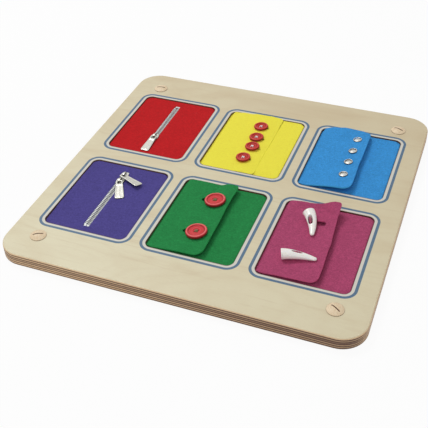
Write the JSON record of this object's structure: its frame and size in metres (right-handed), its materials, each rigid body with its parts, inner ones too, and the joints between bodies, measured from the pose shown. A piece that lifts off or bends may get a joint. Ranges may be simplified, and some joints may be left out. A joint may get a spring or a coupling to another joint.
{
  "type": "busy board",
  "caption": "Plywood board with felt windows for practising zips, buttons, snap fasteners and toggles, with wooden caps over its wall screws",
  "frame": {"origin": "centre of the underside, which rests on the table or against the wall", "axes": "+X to the right, +Y to the board's back edge (its top edge on a wall), +Z out of the felt side; the board lies on its back"},
  "size_m": [0.4, 0.4, 0.0267],
  "materials": {
    "birch_core": "satin clear varnish",
    "birch_face": "satin clear varnish",
    "blue_felt": "matte felt",
    "button_big": "gloss",
    "button_small": "gloss",
    "cap_wood": "satin",
    "green_felt": "matte felt",
    "magenta_felt": "matte felt",
    "olive_thread": "cotton thread",
    "pull_metal": "polished",
    "purple_felt": "matte felt",
    "purple_tape": "woven",
    "red_felt": "matte felt",
    "red_tape": "woven",
    "snap_cap_metal": "satin, pearly",
    "snap_metal": "satin",
    "toggle_cord": "twisted cord",
    "toggle_horn": "polished imitation horn",
    "white_thread": "cotton thread",
    "yellow_felt": "matte felt",
    "zip_metal": "satin"
  },
  "bodies": {
    "board": {"front_panel": "birch_face", "back_panel": "birch_core", "red_felt": "red_felt", "red_zip_tape_left": "red_tape", "red_zip_tape_right": "red_tape", "red_zip_teeth_left": "zip_metal", "red_zip_teeth_right": "zip_metal", "red_zip_stops": "zip_metal", "purple_felt": "purple_felt", "purple_zip_tape_left": "purple_tape", "purple_zip_tape_right": "purple_tape", "purple_zip_teeth_left": "zip_metal", "purple_zip_teeth_right": "zip_metal", "purple_zip_stops": "zip_metal", "yellow_felt": "yellow_felt", "yellow_flap_edge": "yellow_felt", "yellow_thread_shanks": "white_thread", "green_felt": "green_felt", "green_flap_edge": "green_felt", "green_thread_shanks": "olive_thread", "blue_felt": "blue_felt", "blue_flap_edge": "blue_felt", "blue_snap_studs": "snap_metal", "blue_snap_rivets": "snap_metal", "magenta_felt": "magenta_felt", "magenta_flap_edge": "magenta_felt", "magenta_toggle_cords": "toggle_cord"},
    "cap_front_left": {"cap_front_left": "cap_wood"},
    "cap_front_right": {"cap_front_right": "cap_wood"},
    "cap_back_left": {"cap_back_left": "cap_wood"},
    "cap_back_right": {"cap_back_right": "cap_wood"},
    "red_slider": {"red_slider": "pull_metal"},
    "red_pull": {"red_pull": "pull_metal"},
    "purple_slider_front": {"purple_slider_front": "pull_metal"},
    "purple_pull_front": {"purple_pull_front": "pull_metal"},
    "purple_slider_back": {"purple_slider_back": "pull_metal"},
    "purple_pull_back": {"purple_pull_back": "pull_metal"},
    "yellow_button_1": {"yellow_button_1": "button_small", "yellow_stitch_1": "white_thread"},
    "yellow_button_2": {"yellow_button_2": "button_small", "yellow_stitch_2": "white_thread"},
    "yellow_button_3": {"yellow_button_3": "button_small", "yellow_stitch_3": "white_thread"},
    "yellow_button_4": {"yellow_button_4": "button_small", "yellow_stitch_4": "white_thread"},
    "green_button_back": {"green_button_back": "button_big", "green_stitch_back": "olive_thread"},
    "green_button_front": {"green_button_front": "button_big", "green_stitch_front": "olive_thread"},
    "toggle_back": {"magenta_toggle_back": "toggle_horn"},
    "toggle_front": {"magenta_toggle_front": "toggle_horn"},
    "yellow_flap": {"yellow_flap": "yellow_felt"},
    "blue_flap": {"blue_flap": "blue_felt", "blue_snap_caps": "snap_cap_metal", "blue_snap_sockets": "snap_metal"},
    "green_flap": {"green_flap": "green_felt"},
    "magenta_flap": {"magenta_flap": "magenta_felt"}
  },
  "joints": [
    {"name": "cap_front_left_lift", "type": "slide", "parent": "board", "child": "cap_front_left", "axis": [0, 0, 1], "range_m": [0, 0.012]},
    {"name": "cap_front_right_lift", "type": "slide", "parent": "board", "child": "cap_front_right", "axis": [0, 0, 1], "range_m": [0, 0.012]},
    {"name": "cap_back_left_lift", "type": "slide", "parent": "board", "child": "cap_back_left", "axis": [0, 0, 1], "range_m": [0, 0.012]},
    {"name": "cap_back_right_lift", "type": "slide", "parent": "board", "child": "cap_back_right", "axis": [0, 0, 1], "range_m": [0, 0.012]},
    {"name": "red_slider_travel", "type": "slide", "parent": "board", "child": "red_slider", "axis": [0, 1, 0], "range_m": [-0.006, 0.066]},
    {"name": "red_pull_swing", "type": "hinge", "parent": "red_slider", "child": "red_pull", "pos_m": [-0.1245, 0.05305, 0.01555], "axis": [-1, 0, 0], "range_deg": [0, 150]},
    {"name": "purple_front_slider_travel", "type": "slide", "parent": "board", "child": "purple_slider_front", "axis": [0, 1, 0], "range_m": [-0.062, 0]},
    {"name": "purple_front_pull_swing", "type": "hinge", "parent": "purple_slider_front", "child": "purple_pull_front", "pos_m": [-0.1245, -0.04745, 0.01555], "axis": [-0.8988, -0.4384, 0], "range_deg": [0, 100]},
    {"name": "purple_back_slider_travel", "type": "slide", "parent": "board", "child": "purple_slider_back", "axis": [0, 1, 0], "range_m": [0, 0.0025]},
    {"name": "purple_back_pull_turn", "type": "hinge", "parent": "purple_slider_back", "child": "purple_pull_back", "pos_m": [-0.1245, -0.03695, 0.01555], "axis": [0, 0, 1], "range_deg": [0, 50]},
    {"name": "yellow_button_1_turn", "type": "hinge", "parent": "board", "child": "yellow_button_1", "pos_m": [-0.0017, 0.114, 0.0156], "axis": [-0.0333, 0, 0.9994], "range_deg": [-40, 40]},
    {"name": "yellow_button_2_turn", "type": "hinge", "parent": "board", "child": "yellow_button_2", "pos_m": [0.0003, 0.089, 0.01567], "axis": [-0.0347, 0, 0.9994], "range_deg": [-40, 40]},
    {"name": "yellow_button_3_turn", "type": "hinge", "parent": "board", "child": "yellow_button_3", "pos_m": [0.0018, 0.068, 0.01572], "axis": [-0.0358, 0, 0.9994], "range_deg": [-40, 40]},
    {"name": "yellow_button_4_turn", "type": "hinge", "parent": "board", "child": "yellow_button_4", "pos_m": [-0.0012, 0.0425, 0.01562], "axis": [-0.0337, 0, 0.9994], "range_deg": [-40, 40]},
    {"name": "green_button_back_turn", "type": "hinge", "parent": "board", "child": "green_button_back", "pos_m": [-0.0024, -0.0495, 0.01717], "axis": [-0.0998, 0, 0.995], "range_deg": [-40, 40]},
    {"name": "green_button_front_turn", "type": "hinge", "parent": "board", "child": "green_button_front", "pos_m": [-0.0024, -0.1065, 0.01717], "axis": [-0.0998, 0, 0.995], "range_deg": [-40, 40]},
    {"name": "toggle_back_turn", "type": "hinge", "parent": "board", "child": "toggle_back", "pos_m": [0.1077, -0.0489, 0.01621], "axis": [-0.082, 0, 0.9966], "range_deg": [-90, 90]},
    {"name": "toggle_front_turn", "type": "hinge", "parent": "board", "child": "toggle_front", "pos_m": [0.1059, -0.1079, 0.01607], "axis": [-0.0777, 0, 0.997], "range_deg": [-90, 90]},
    {"name": "yellow_flap_fold", "type": "hinge", "parent": "board", "child": "yellow_flap", "pos_m": [-0.0497, 0.0785, 0.0158], "axis": [0, -1, 0], "range_deg": [0, 165], "deforming": ["yellow_flap"]},
    {"name": "blue_flap_fold", "type": "hinge", "parent": "board", "child": "blue_flap", "pos_m": [0.0733, 0.0785, 0.0158], "axis": [0, -1, 0], "range_deg": [0, 165]},
    {"name": "green_flap_fold", "type": "hinge", "parent": "board", "child": "green_flap", "pos_m": [-0.0497, -0.0785, 0.0158], "axis": [0, -1, 0], "range_deg": [0, 165], "deforming": ["green_flap"]},
    {"name": "magenta_flap_fold", "type": "hinge", "parent": "board", "child": "magenta_flap", "pos_m": [0.0733, -0.0785, 0.0158], "axis": [0, -1, 0], "range_deg": [0, 165], "deforming": ["magenta_flap"]}
  ]
}
